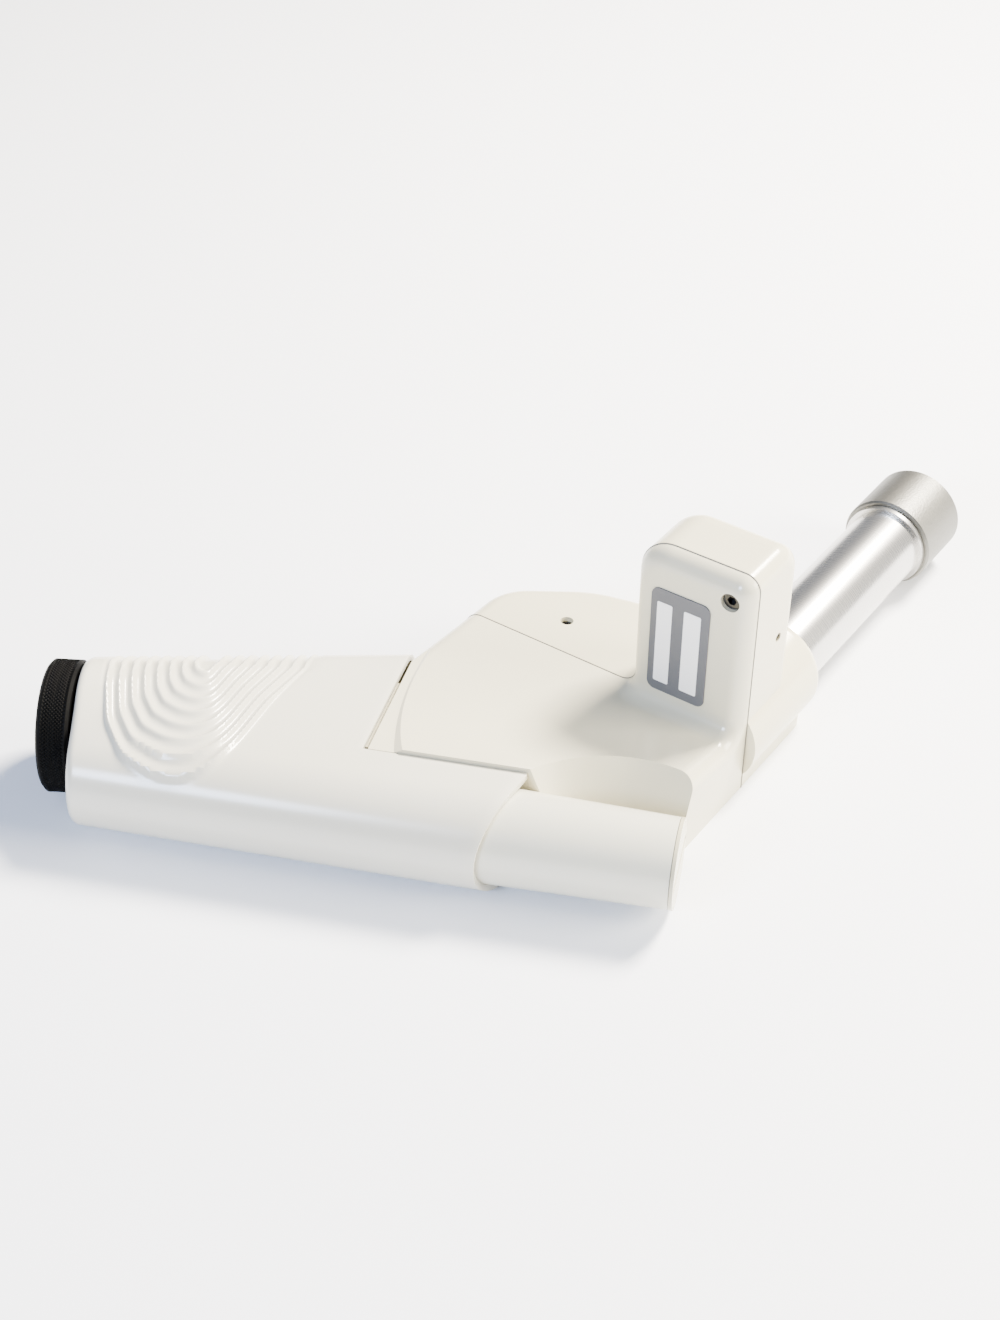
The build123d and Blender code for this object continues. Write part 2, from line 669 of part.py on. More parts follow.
with BuildPart() as battery_sleeve:
    with BuildSketch(sleeve_plane(SLEEVE_LEFT)):
        Circle(SLEEVE_R)
    extrude(amount=TAPER_START - SLEEVE_LEFT)
    with BuildSketch(sleeve_plane(TAPER_START)):
        Circle(SLEEVE_R)
    with BuildSketch(sleeve_plane(SLEEVE_RIGHT)):
        Circle(SLEEVE_END_R)
    loft()
    with BuildSketch(sleeve_plane(SLEEVE_LEFT + SLEEVE_END_WALL)):
        Circle(SLEEVE_BORE_R)
    extrude(amount=SLEEVE_RIGHT - SLEEVE_LEFT, mode=Mode.SUBTRACT)
    with BuildSketch(sleeve_plane(GROOVE_SPAN[0])):
        Circle(GROOVE_R)
    extrude(amount=GROOVE_SPAN[1] - GROOVE_SPAN[0], mode=Mode.SUBTRACT)
    with BuildSketch(sleeve_plane(GROOVE_SPAN[1])):
        Rectangle(LUG_WIDTH + 0.6, 2 * GROOVE_R)
    extrude(amount=SLEEVE_RIGHT - GROOVE_SPAN[1], mode=Mode.SUBTRACT)
finish(battery_sleeve.part, "battery_sleeve")

contact_start = SLEEVE_LEFT + SLEEVE_END_WALL
sleeve_piece(contact_start, CONTACT_R, CONTACT_THICKNESS, "contact_disc")
cells_start = contact_start + CONTACT_THICKNESS
with BuildPart() as cells:
    for index in range(2):
        with BuildSketch(sleeve_plane(cells_start + index * CELL_PITCH)):
            Circle(CELL_PIP_R)
        extrude(amount=CELL_PIP)
        with BuildSketch(sleeve_plane(cells_start + CELL_PIP + index * CELL_PITCH)):
            Circle(CELL_R)
        extrude(amount=CELL_LENGTH)
finish(cells.part, "cells")

spring_start = cells_start + CELL_PITCH + CELL_PIP + CELL_LENGTH
CAP_PLUG_START = 54.4
CAP_GAP = 0.2
CAP_FLANGE = 1.0
CAP_SLOT_WIDTH = 2.0            # coin slot
CAP_SLOT_DEPTH = 0.6
coil_length = CAP_PLUG_START - spring_start - 2 * SPRING_CLEAR
coil = sleeve_plane(spring_start + SPRING_CLEAR) * Helix(SPRING_PITCH, coil_length, SPRING_R)
with BuildPart() as contact_spring:
    with BuildSketch(Plane(origin=coil @ 0, z_dir=coil % 0)):
        Circle(SPRING_WIRE_R)
    sweep(path=coil, is_frenet=True)
finish(contact_spring.part, "contact_spring")

with BuildPart() as battery_cap:
    with BuildSketch(sleeve_plane(CAP_PLUG_START)):
        Circle(SLEEVE_BORE_R - 0.1)
    extrude(amount=SLEEVE_RIGHT - CAP_PLUG_START)
    with BuildSketch(sleeve_plane(SLEEVE_RIGHT)):
        Circle(SLEEVE_BORE_R - 0.1)
    extrude(amount=CAP_GAP)
    with BuildSketch(sleeve_plane(SLEEVE_RIGHT + CAP_GAP)):
        Circle(SLEEVE_END_R + 0.1)
    extrude(amount=CAP_FLANGE)
    with BuildSketch(sleeve_plane(LUG_SPAN[0])):
        Rectangle(2 * GROOVE_R - 0.3, LUG_WIDTH)
    extrude(amount=LUG_SPAN[1] - LUG_SPAN[0])
    with BuildSketch(sleeve_plane(SLEEVE_RIGHT + CAP_GAP + CAP_FLANGE)):
        Rectangle(2 * SLEEVE_BORE_R, CAP_SLOT_WIDTH)
    extrude(amount=-CAP_SLOT_DEPTH, mode=Mode.SUBTRACT)
finish(battery_cap.part, "battery_cap")

SWITCH_AT = (-12.0, 12.0)
SWITCH_SIZE = (14.0, 8.0)
SWITCH_HEIGHT = 5.0
SLIDER_AT = (-14.0, 12.0)
SLIDER_SIZE = 3.0
SLIDER_HEIGHT = 2.0

with BuildPart() as lamp_switch:
    with BuildSketch(Plane.XY.offset(WALL)):
        with Locations(SWITCH_AT):
            Rectangle(*SWITCH_SIZE)
    extrude(amount=SWITCH_HEIGHT)
    with BuildSketch(Plane.XY.offset(WALL + SWITCH_HEIGHT)):
        with Locations(SLIDER_AT):
            Rectangle(SLIDER_SIZE, SLIDER_SIZE)
    extrude(amount=SLIDER_HEIGHT)
finish(lamp_switch.part, "lamp_switch")

# ---------------------------------------------------------------- grip shell
GRIP_NEAR_R = 16.0
FAR_LEFT = (-33.0, 21.0, 20.5)          # y, z and radius of the far side at the loft's ends
FAR_RIGHT = (14.0, 13.5, 11.0)
LOFT_LEFT = -125.0
GRIP_STATIONS = 5
END_FACE_AT = 9.7                       # along the eyepiece axis
END_WALL = 2.5
TIP_CURVE = ((15.5, -33.7), (11.9, -47.0), (6.2, -61.0))   # seen from above, seam to front
TIP_SPARE = 30.0
GRIP_END_R = 3.0
EYE_TUBE_R = 15.0


def grip_section(x, far, inset):
    """Hull of the round near side and the round far side."""
    with BuildSketch(Plane.YZ.offset(x)) as section:
        with Locations((SLEEVE_Y, SLEEVE_Z)):
            Circle(GRIP_NEAR_R - inset)
        with Locations((far[0], far[1])):
            Circle(far[2] - inset)
        make_hull()
    return section.sketch


def grip_barrel(inset, end_at):
    """The tapered part of the grip, its outside or its hollow by the inset."""
    with BuildPart() as form:
        sections = []
        for step in range(GRIP_STATIONS + 1):
            share = step / GRIP_STATIONS
            x = LOFT_LEFT + share * (GRIP_OPEN - LOFT_LEFT)
            far = [left + share * (right - left) for left, right in zip(FAR_LEFT, FAR_RIGHT)]
            sections.append(grip_section(x, far, inset).face())
        loft(sections)
        split(bisect_by=eye_plane(end_at), keep=Keep.TOP)
        if inset == 0:
            fillet(form.faces().sort_by(Axis.X)[0].edges(), GRIP_END_R)
    return form.part


def grip_cheek(inset, run_out):
    """The part of the grip that runs on over the battery sleeve, in front of the seam."""
    with BuildPart() as form:
        extrude(grip_section(GRIP_OPEN, FAR_RIGHT, inset).face(), amount=run_out)
        split(bisect_by=Plane.XZ.offset(-GRIP_SEAM_Y), keep=Keep.TOP)
    return form.part


with BuildPart() as grip_shell:
    add(grip_barrel(0, END_FACE_AT))
    add(grip_cheek(0, TIP_SPARE - GRIP_OPEN))
    add(grip_barrel(GRIP_WALL, END_FACE_AT + END_WALL), mode=Mode.SUBTRACT)
    add(grip_cheek(GRIP_WALL, TIP_SPARE + 1 - GRIP_OPEN), mode=Mode.SUBTRACT)
    with BuildSketch(Plane.XY.offset(-1)):
        with BuildLine():
            seam_end, middle, front_end = TIP_CURVE
            ThreePointArc(seam_end, middle, front_end)
            Polyline(
                front_end,
                (front_end[0], front_end[1] - 2),
                (TIP_SPARE + 2, front_end[1] - 2),
                (TIP_SPARE + 2, seam_end[1] + 2),
                (seam_end[0], seam_end[1] + 2),
                seam_end,
            )
        make_face()
    extrude(amount=SLEEVE_Z + GRIP_NEAR_R + 2, mode=Mode.SUBTRACT)
    with BuildSketch(eye_plane(END_FACE_AT - 1)):
        Circle(EYE_TUBE_R)
    extrude(amount=END_WALL + 3, mode=Mode.SUBTRACT)
finish(grip_shell.part, "grip_shell")

# ---------------------------------------------------------------- eyepiece
EYE_START = 2.2
EYE_FLANGE = 2.0
EYE_BORE_R = 13.2
EYE_STEP_AT = 18.0
EYE_NARROW_R = 11.9
EYE_NARROW_BORE_R = 10.8
EYE_END_AT = 40.0
EYE_SHOULDER = 2.0
RING_CHAMFER = 0.8
RING_HOLE_R = 11.0
RING_WEB = 1.5
RING_BORE_R = EYE_TUBE_R + 0.08
EYE_LENS_R = 11.2

with BuildPart() as eyepiece_tube:
    with BuildSketch(eye_plane(EYE_START)):
        Circle(EYE_TUBE_R)
    extrude(amount=EYE_STEP_AT - EYE_START)
    with BuildSketch(eye_plane(END_FACE_AT + END_WALL)):
        Circle(EYE_TUBE_R + 1.0)
    extrude(amount=EYE_FLANGE)
    with BuildSketch(eye_plane(EYE_STEP_AT)):
        Circle(EYE_NARROW_R)
    extrude(amount=EYE_END_AT - EYE_STEP_AT)
    with BuildSketch(eye_plane(0)):
        Circle(EYE_BORE_R)
    extrude(amount=EYE_STEP_AT - EYE_SHOULDER, mode=Mode.SUBTRACT)
    with BuildSketch(eye_plane(0)):
        Circle(EYE_NARROW_BORE_R)
    extrude(amount=EYE_END_AT, mode=Mode.SUBTRACT)
finish(eyepiece_tube.part, "eyepiece_tube")

with BuildPart() as focus_ring:
    with BuildSketch(eye_plane(0)):
        Circle(RING_R)
    extrude(amount=RING_LENGTH)
    chamfer(focus_ring.edges().filter_by(GeomType.CIRCLE), RING_CHAMFER)
    with BuildSketch(eye_plane(0)):
        Circle(RING_HOLE_R)
    extrude(amount=RING_LENGTH, mode=Mode.SUBTRACT)
    with BuildSketch(eye_plane(RING_WEB)):
        Circle(RING_BORE_R)
    extrude(amount=RING_LENGTH, mode=Mode.SUBTRACT)
finish(focus_ring.part, "focus_ring")

finish(tube(eye_plane(4.5), EYE_BORE_R - RUNNING_GAP, EYE_LENS_R, 8.0), "eye_lens_cell")
finish(lens(eye_plane(8.5), EYE_LENS_R, 2.4, 1.5), "eye_lens")
finish(lens(eye_plane(27.0), EYE_NARROW_BORE_R, 2.0, 1.4), "field_lens")
finish(tube(eye_plane(33.0), EYE_NARROW_BORE_R, 0, 1.5), "reticle")
finish(tube(eye_plane(34.5), EYE_NARROW_BORE_R, 9.0, 2.0), "reticle_ring")

OBJECTIVE_R = 8.2
TELESCOPE_R = 9.4
TELESCOPE_FLANGE = 1.5
TELESCOPE_LENGTH = 20.5
OBJECTIVE_AT = 59.0

with BuildPart() as telescope_tube:
    with BuildSketch(eye_plane(EYE_END_AT)):
        Circle(EYE_NARROW_R)
        Circle(OBJECTIVE_R, mode=Mode.SUBTRACT)
    extrude(amount=TELESCOPE_FLANGE)
    with BuildSketch(eye_plane(EYE_END_AT + TELESCOPE_FLANGE)):
        Circle(TELESCOPE_R)
        Circle(OBJECTIVE_R, mode=Mode.SUBTRACT)
    extrude(amount=TELESCOPE_LENGTH)
finish(telescope_tube.part, "telescope_tube")
finish(lens(eye_plane(OBJECTIVE_AT), OBJECTIVE_R, 1.8, 1.3), "objective_lens")
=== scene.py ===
"""Looks of a hand-held lensmeter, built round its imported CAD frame.  Metres, row frame, +Z up."""

import json
import logging
from dataclasses import dataclass, field
from enum import Enum
from math import radians

import bmesh
import bpy
import numpy as np
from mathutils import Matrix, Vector


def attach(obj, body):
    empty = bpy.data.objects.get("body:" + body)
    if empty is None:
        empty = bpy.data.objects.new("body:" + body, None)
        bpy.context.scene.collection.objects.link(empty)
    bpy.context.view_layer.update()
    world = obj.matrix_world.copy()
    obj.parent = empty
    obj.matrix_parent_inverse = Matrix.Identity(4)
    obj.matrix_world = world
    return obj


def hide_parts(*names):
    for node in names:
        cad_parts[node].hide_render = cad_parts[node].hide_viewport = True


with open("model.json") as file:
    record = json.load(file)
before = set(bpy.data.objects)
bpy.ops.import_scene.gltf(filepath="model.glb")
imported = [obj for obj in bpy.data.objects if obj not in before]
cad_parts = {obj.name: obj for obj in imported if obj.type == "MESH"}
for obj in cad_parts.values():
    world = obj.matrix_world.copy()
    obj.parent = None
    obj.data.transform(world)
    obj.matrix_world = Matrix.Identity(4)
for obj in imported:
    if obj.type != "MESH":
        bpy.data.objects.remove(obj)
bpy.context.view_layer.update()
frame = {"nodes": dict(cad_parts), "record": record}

logging.basicConfig(level=logging.INFO, format="%(message)s")
log = logging.getLogger("lensmeter")

MM = 0.001

Numbers = np.ndarray


# ---------------------------------------------------------------- small helpers
def linear(hex_colour: str) -> tuple[float, float, float, float]:
    """Turn an sRGB hex colour into linear RGBA.

    Args:
        hex_colour: Six hex digits, such as "f0ece2".

    Returns:
        Linear red, green, blue and full alpha.
    """
    shares = [int(hex_colour[i : i + 2], 16) / 255 for i in (0, 2, 4)]
    return (*(s / 12.92 if s <= 0.04045 else ((s + 0.055) / 1.055) ** 2.4 for s in shares), 1.0)


def add_node(tree: bpy.types.NodeTree, kind: str, links: dict | None = None, **settings) -> bpy.types.Node:
    """Add a node, set its sockets or properties and link its inputs.

    Args:
        tree: Node tree that takes the node.
        kind: Blender's node type name.
        links: Input name or index to the output socket that feeds it.
        **settings: Property values; a name that is no property sets the input of that name.

    Returns:
        The new node.
    """
    node = tree.nodes.new(kind)
    for name, value in settings.items():
        if hasattr(node, name):
            setattr(node, name, value)
        else:
            node.inputs[name.replace("_", " ")].default_value = value
    for name, socket in (links or {}).items():
        tree.links.new(socket, node.inputs[name])
    return node


def eased(t: Numbers) -> Numbers:
    """Smooth step: 3t^2 - 2t^3, held at 0 and 1 outside that range."""
    t = np.clip(t, 0, 1)
    return t * t * (3 - 2 * t)


def new_piece(name: str, points: Numbers, faces: Numbers | list, smooth: bool = True) -> bpy.types.Object:
    """Make a mesh object at the origin from points in millimetres.

    Args:
        name: Piece name.
        points: N x 3 positions in millimetres, in the row frame.
        faces: Corner indices of each face, counter-clockwise from outside.
        smooth: Whether faces share their shading.

    Returns:
        The new object, linked into the scene.
    """
    mesh = bpy.data.meshes.new(name)
    mesh.from_pydata((points * MM).tolist(), [], faces if isinstance(faces, list) else faces.tolist())
    mesh.polygons.foreach_set("use_smooth", np.full(len(mesh.polygons), smooth))
    mesh.update()
    piece = bpy.data.objects.new(name, mesh)
    bpy.context.collection.objects.link(piece)
    return piece


def torus_faces(rows: int, columns: int) -> Numbers:
    """Quads of a grid that closes on itself both ways."""
    i, j = np.meshgrid(np.arange(rows), np.arange(columns), indexing="ij")
    k, m = (i + 1) % rows, (j + 1) % columns
    return np.stack([i * columns + j, k * columns + j, k * columns + m, i * columns + m], -1).reshape(-1, 4)


def face_outwards(piece: bpy.types.Object) -> None:
    """Turn every face of a closed piece outwards."""
    work = bmesh.new()
    work.from_mesh(piece.data)
    bmesh.ops.recalc_face_normals(work, faces=work.faces)
    work.to_mesh(piece.data)
    work.free()
    piece.data.update()


def settle(piece: bpy.types.Object, body: str, finish: bpy.types.Material) -> bpy.types.Object:
    """Give a new piece its material and its body."""
    piece.data.materials.clear()
    piece.data.materials.append(finish)
    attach(piece, body)
    log.info("piece %-18s body %-14s faces %6d", piece.name, body, len(piece.data.polygons))
    return piece


# ---------------------------------------------------------------- finishes
class Grain(Enum):
    """How a surface was made, which sets its pattern."""

    MOULDED = "moulded"
    BLASTED = "blasted"
    TURNED = "turned"
    PRINTED = "printed"
    HANDLED = "handled"
    CLEAR = "clear"


@dataclass(frozen=True)
class Finish:
    """One material: what it is made of, how its surface was made, and at what size."""

    name: str
    colour: str
    shade: str
    roughness: float
    grain: Grain
    grain_mm: float
    relief_mm: float
    metallic: float = 0.0
    specular: float = 0.5
    ior: float | None = None
    clear: float = 0.0
    axis_turn: tuple[float, float, float] = (0.0, 0.0, 0.0)
    tint_mm: float = 45.0
    smoothest: float = 0.88
    roughest: float = 1.14

    def coordinates(self, tree: bpy.types.NodeTree) -> bpy.types.NodeSocket:
        """Object coordinates, turned so that a turned part's axis lies along X."""
        place = add_node(tree, "ShaderNodeTexCoord")
        turned = add_node(
            tree, "ShaderNodeMapping", {"Vector": place.outputs["Object"]}, vector_type="TEXTURE"
        )
        turned.inputs["Rotation"].default_value = self.axis_turn
        return turned.outputs["Vector"]

    def build(self) -> bpy.types.Material:
        """Make the material.

        A broad cloud pattern mixes the colour with its shade, as handling and light ageing do.
        The grain pattern bends the normal by its real height and varies the roughness.

        Returns:
            The new node material.
        """
        material = bpy.data.materials.new(self.name)
        material.use_nodes = True
        tree = material.node_tree
        shader = tree.nodes["Principled BSDF"]
        where = self.coordinates(tree)
        cloud = add_node(
            tree, "ShaderNodeTexNoise", {"Vector": where}, Scale=1 / (self.tint_mm * MM), Detail=3.0
        )
        tint = add_node(tree, "ShaderNodeMix", {"Factor": cloud.outputs["Fac"]}, data_type="RGBA")
        tint.inputs["A"].default_value = linear(self.colour)
        tint.inputs["B"].default_value = linear(self.shade)
        tree.links.new(tint.outputs["Result"], shader.inputs["Base Color"])

        pattern = self.pattern(tree, where)
        bump = add_node(
            tree, "ShaderNodeBump", {"Height": pattern}, Strength=1.0, Distance=self.relief_mm * MM
        )
        tree.links.new(bump.outputs["Normal"], shader.inputs["Normal"])
        gloss = add_node(tree, "ShaderNodeMapRange", {"Value": pattern})
        gloss.inputs["To Min"].default_value = self.roughness * self.smoothest
        gloss.inputs["To Max"].default_value = min(1.0, self.roughness * self.roughest)
        tree.links.new(gloss.outputs["Result"], shader.inputs["Roughness"])

        shader.inputs["Metallic"].default_value = self.metallic
        shader.inputs["Transmission Weight"].default_value = self.clear
        if not self.metallic:
            shader.inputs["Specular IOR Level"].default_value = self.specular
        if self.ior:
            shader.inputs["IOR"].default_value = self.ior
        return material

    def pattern(self, tree: bpy.types.NodeTree, where: bpy.types.NodeSocket) -> bpy.types.NodeSocket:
        """The grain's height, 0 to 1, for the way this surface was made."""
        fine = 1 / (self.grain_mm * MM)
        if self.grain is Grain.TURNED:
            # Tool rings: noise along the axis only, so that each ring is even all the way round.
            rings = add_node(tree, "ShaderNodeMapping", {"Vector": where}, Scale=(fine, 0, 0))
            turning = add_node(
                tree, "ShaderNodeTexNoise", {"Vector": rings.outputs["Vector"]}, Scale=1.0, Detail=2.0
            )
            return turning.outputs["Fac"]
        if self.grain is Grain.PRINTED:
            # Foil stock: short fibres drawn out along the height.
            fibres = add_node(tree, "ShaderNodeMapping", {"Vector": where}, Scale=(fine, fine, fine / 6))
            stock = add_node(
                tree, "ShaderNodeTexNoise", {"Vector": fibres.outputs["Vector"]}, Scale=1.0, Detail=1.0
            )
            return stock.outputs["Fac"]
        if self.grain is Grain.BLASTED:
            pits = add_node(tree, "ShaderNodeTexVoronoi", {"Vector": where}, Scale=fine)
            return pits.outputs["Distance"]
        detail = {Grain.MOULDED: 2.0, Grain.HANDLED: 5.0, Grain.CLEAR: 0.0}[self.grain]
        skin = add_node(tree, "ShaderNodeTexNoise", {"Vector": where}, Scale=fine, Detail=detail)
        return skin.outputs["Fac"]


BARREL_TURN = radians(67.5)
ALONG_BARREL = (0.0, 0.0, BARREL_TURN)

# Injection-moulded ABS with a fine satin skin: even, slightly warm, with broad soft highlights.
SHELL = dict(roughness=0.22, grain=Grain.MOULDED, grain_mm=0.7, relief_mm=0.006, specular=0.5, ior=1.53)
FINISHES = {
    "cream_shell": Finish("moulded_abs_cream", "cfc9b2", "c8c2a9", **SHELL),
    "cream_rear": Finish("moulded_abs_cream_rear", "cdc7ae", "c7c0a5", **SHELL),
    "cream_grip": Finish("moulded_abs_cream_grip", "cac7ba", "c4c0b0", **SHELL),
    "cream_sleeve": Finish("moulded_abs_cream_sleeve", "cccabb", "c6c3b2", **SHELL),
    "cream_cap": Finish("moulded_abs_ivory_cap", "c0baa0", "b9b297", **SHELL),
    # Black-dyed acetal with a cut knurl: near-black flanks, a dull sheen on the crests.
    "black_ring": Finish(
        "turned_acetal_black", "010101", "020202", 0.6, Grain.HANDLED, 1.2, 0.01, specular=0.06
    ),
    # Matt black anodising: hides stray light, a faint grey bloom.
    "black_anodised": Finish("anodised_aluminium_black", "0b0b0c", "151516", 0.6, Grain.BLASTED, 0.4, 0.01),
    # Printed polyester foil: flat mid grey with a short fibre to it.
    "label_grey": Finish("printed_foil_grey", "58595d", "525357", 0.5, Grain.PRINTED, 0.35, 0.006),
    # Black-oxide steel socket screws: dark, with small hard highlights and faint smudges.
    "screw_steel": Finish("oxide_steel_dark", "4a4a4c", "3c3c3e", 0.24, Grain.HANDLED, 1.0, 0.004, 1.0),
    # Bare turned aluminium: even tool rings that draw each highlight out along the tube.
    "turned_aluminium": Finish(
        "turned_aluminium_bare", "d2d0cc", "c8c6c2", 0.27, Grain.TURNED, 0.4, 0.005, 1.0,
        axis_turn=ALONG_BARREL,
    ),
    # Bead-blasted aluminium: soft, slightly speckled, no drawn-out highlight.
    "satin_aluminium": Finish("blasted_aluminium", "7d7c76", "74736d", 0.45, Grain.BLASTED, 0.6, 0.05, 1.0),
    # Nitrile rubber: dull with a faint bloom.
    "rest_rubber": Finish("nitrile_rubber_black", "141414", "1d1d1d", 0.75, Grain.HANDLED, 0.8, 0.02),
    # Crown glass with an antireflection coat.
    "optical_glass": Finish(
        "crown_glass_coated", "e8f4ee", "dff0ea", 0.03, Grain.CLEAR, 8.0, 0.0005, clear=1.0, ior=1.52
    ),
    "green_glass": Finish(
        "filter_glass_green", "2f9a4c", "2a8f46", 0.04, Grain.CLEAR, 8.0, 0.0005, clear=1.0, ior=1.52
    ),
    "mirror_coat": Finish("front_silvered_mirror", "eeeeee", "e6e6e6", 0.04, Grain.CLEAR, 8.0, 0.0005, 1.0),
    "lamp_glass": Finish(
        "lamp_bulb_glass", "f6f1e2", "efe8d4", 0.05, Grain.CLEAR, 6.0, 0.0005, clear=0.9, ior=1.5
    ),
    "white_insulator": Finish("moulded_nylon_white", "dcdcd6", "d2d2ca", 0.5, Grain.MOULDED, 0.8, 0.01),
    "cell_can": Finish("cell_sleeve_green", "3c6b4a", "345f41", 0.35, Grain.HANDLED, 2.0, 0.006),
    "brass_contact": Finish("rolled_brass_bare", "b8923f", "a58033", 0.3, Grain.HANDLED, 1.5, 0.006, 1.0),
    "spring_steel": Finish("drawn_steel_bright", "a2a2a5", "8f8f93", 0.25, Grain.HANDLED, 1.0, 0.004, 1.0),
}
WINDOW_PAPER = Finish("coated_paper_white", "f2f1ef", "eceae7", 0.55, Grain.PRINTED, 0.3, 0.005)
# Dark grey of the parting line's bead: painted shadow of the hairline gap between the two housings.
SEAM_PAINTED_SHADOW = Finish("parting_line_painted_shadow", "6f6d66", "64625c", 0.8, Grain.MOULDED, 0.5, 0.004)


class Palette:
    """Builds each finish once and dresses the CAD nodes by the record's slots."""

    def __init__(self) -> None:
        """Start with no material made."""
        self.made: dict[str, bpy.types.Material] = {}

    def get(self, finish: Finish) -> bpy.types.Material:
        """The material of a finish, made on first use."""
        if finish.name not in self.made:
            self.made[finish.name] = finish.build()
        return self.made[finish.name]

    def slot(self, name: str) -> bpy.types.Material:
        """The material of a record slot."""
        return self.get(FINISHES[name])

    def dress_frame(self) -> None:
        """Give every CAD node the finish that its record slot names."""
        for part in frame["record"]["subparts"]:
            node = frame["nodes"][part["node"]]
            node.data.materials.clear()
            node.data.materials.append(self.slot(part["material_slot"]))
            log.info("node  %-18s finish %s", node.name, FINISHES[part["material_slot"]].name)


# ---------------------------------------------------------------- grip
@dataclass
class Grip:
    """Slide-out grip: a shell round two axes, with nested ribs in its rounded back edge.

    Its section is the hull of a round near side, on the battery sleeve's axis, and a round far
    side that closes in on the sleeve towards the open end.  Sizes in millimetres.
    """

    near: tuple[float, float] = (-45.0, 16.0)
    near_r: float = 16.0
    far_left: tuple[float, float, float] = (-33.0, 21.0, 20.5)
    far_right: tuple[float, float, float] = (14.0, 13.5, 11.0)
    left_x: float = -125.0
    open_x: float = -32.6
    seam_y: float = -33.7
    # The tip's edge seen from above: x and y at the seam, halfway and at the front.
    tip_curve: tuple = ((15.5, -33.7), (11.9, -47.0), (6.2, -61.0))
    wall: float = 1.9
    ring_centre: tuple[float, float, float] = (-129.0, -33.0, 20.5)
    eye_dir: tuple[float, float, float] = (0.984474, 0.173429, -0.027089)
    end_at: float = 9.7
    end_wall: float = 2.5
    hole_r: float = 15.0
    end_round: float = 3.0
    edge_round: float = 0.55
    rib_centre: tuple[float, float] = (-87.0, 22.0)
    rib_count: int = 8
    rib_height: float = 1.35
    rib_width: float = 0.25
    recess: float = 1.1
    recess_depth: float = 26.0
    # Outermost rib: distance along the grip and distance round it from the ribs' centre.
    outer_rib: tuple = (
        (27.5, 0.0), (22.3, 18.5), (18.9, 37.5), (15.5, 46.0), (8.0, 48.4),
        (-1.0, 45.4), (-11.5, 38.0), (-19.0, 26.0), (-22.8, 14.0), (-25.3, 3.5), (-25.8, 0.0),
    )
    rib_samples: int = 361
    rib_ease: int = 16
    rib_fade: float = 0.07
    rib_trace: float = 0.15
    fine_from: float = 52.0
    # Rows: station where each stretch ends and how many rows it holds, then the tip's rows.
    stretches: tuple = ((0.05, 9), (0.72, 124), (1.0, 14))
    tip_rows: int = 14
    # Columns of each half: round the back, and round the near side.
    back_count: int = 96
    near_count: int = 20
    settle_rounds: int = 3
    inner_rows: int = 6
    inner_clear: float = 5.0

    def share(self, x: Numbers) -> Numbers:
        """How far a station is from the left end to the cut-out, 0 to 1."""
        return np.clip((x - self.left_x) / (self.open_x - self.left_x), 0, 1)

    def far(self, x: Numbers) -> tuple[Numbers, Numbers, Numbers]:
        """Centre and radius of the far side at a station, straight from end to end."""
        t = self.share(x)
        return tuple(a + t * (b - a) for a, b in zip(self.far_left, self.far_right))

    def half(self, x: Numbers, side: int) -> dict[str, Numbers]:
        """Lengths of one half of the section, top (+1) or bottom (-1), from the back-most line.

        A line that touches both circles has one outward normal n, and n times the step from the near
        centre to the far one is the near radius less the far one, so n's angle is an arc cosine.
        """
        y, z, r = self.far(x)
        across, up = y - self.near[0], z - self.near[1]
        span = np.hypot(across, up)
        lean = np.arctan2(up, across)
        normal = lean + side * np.arccos((self.near_r - r) / span)
        line = np.sqrt(span**2 - (r - self.near_r) ** 2)
        turn = np.abs(normal)
        return {
            "y": y, "z": z, "r": r, "normal": normal, "line": line, "turn": turn,
            "whole": r * turn + line + self.near_r * (np.pi - turn),
        }

    def seam_reach(self, x: Numbers, side: int) -> Numbers:
        """Distance round the section to the cut-out's edge, eased in from the ribs' fine zone."""
        h = self.half(np.full_like(x, self.open_x), side)
        start_y = h["y"] + h["r"] * np.cos(h["normal"])
        slope = np.abs(np.sin(h["normal"]))
        at_open = h["r"] * h["turn"] + (start_y - self.seam_y) / slope
        t = self.share(x)
        return self.fine_from + t * (at_open - self.fine_from)

    def walk(self, x: Numbers, reach: Numbers, side: int) -> tuple[Numbers, Numbers]:
        """Point and outward normal at a distance round the section.

        The first stretch is the far circle, the second the line that touches both circles, and
        the last the near circle.

        Args:
            x: Stations.
            reach: Distance from the back-most line, same shape as x.
            side: +1 over the top, -1 round the bottom.

        Returns:
            Positions and normals, each with a last axis of three.
        """
        h = self.half(x, side)
        first = h["r"] * h["turn"]
        angle = np.where(
            reach < first,
            side * reach / h["r"],
            np.where(
                reach < first + h["line"],
                h["normal"],
                h["normal"] + side * (reach - first - h["line"]) / self.near_r,
            ),
        )
        normal = np.stack([np.zeros_like(x), np.cos(angle), np.sin(angle)], -1)
        on_near = reach >= first + h["line"]
        centre_y = np.where(on_near, self.near[0], h["y"])
        centre_z = np.where(on_near, self.near[1], h["z"])
        radius = np.where(on_near, self.near_r, h["r"])
        slide = np.clip(reach - first, 0, h["line"]) * ~on_near
        point = np.stack(
            [
                x,
                centre_y + radius * np.cos(angle) - side * slide * np.sin(angle),
                centre_z + radius * np.sin(angle) + side * slide * np.cos(angle),
            ],
            -1,
        )
        return point, normal

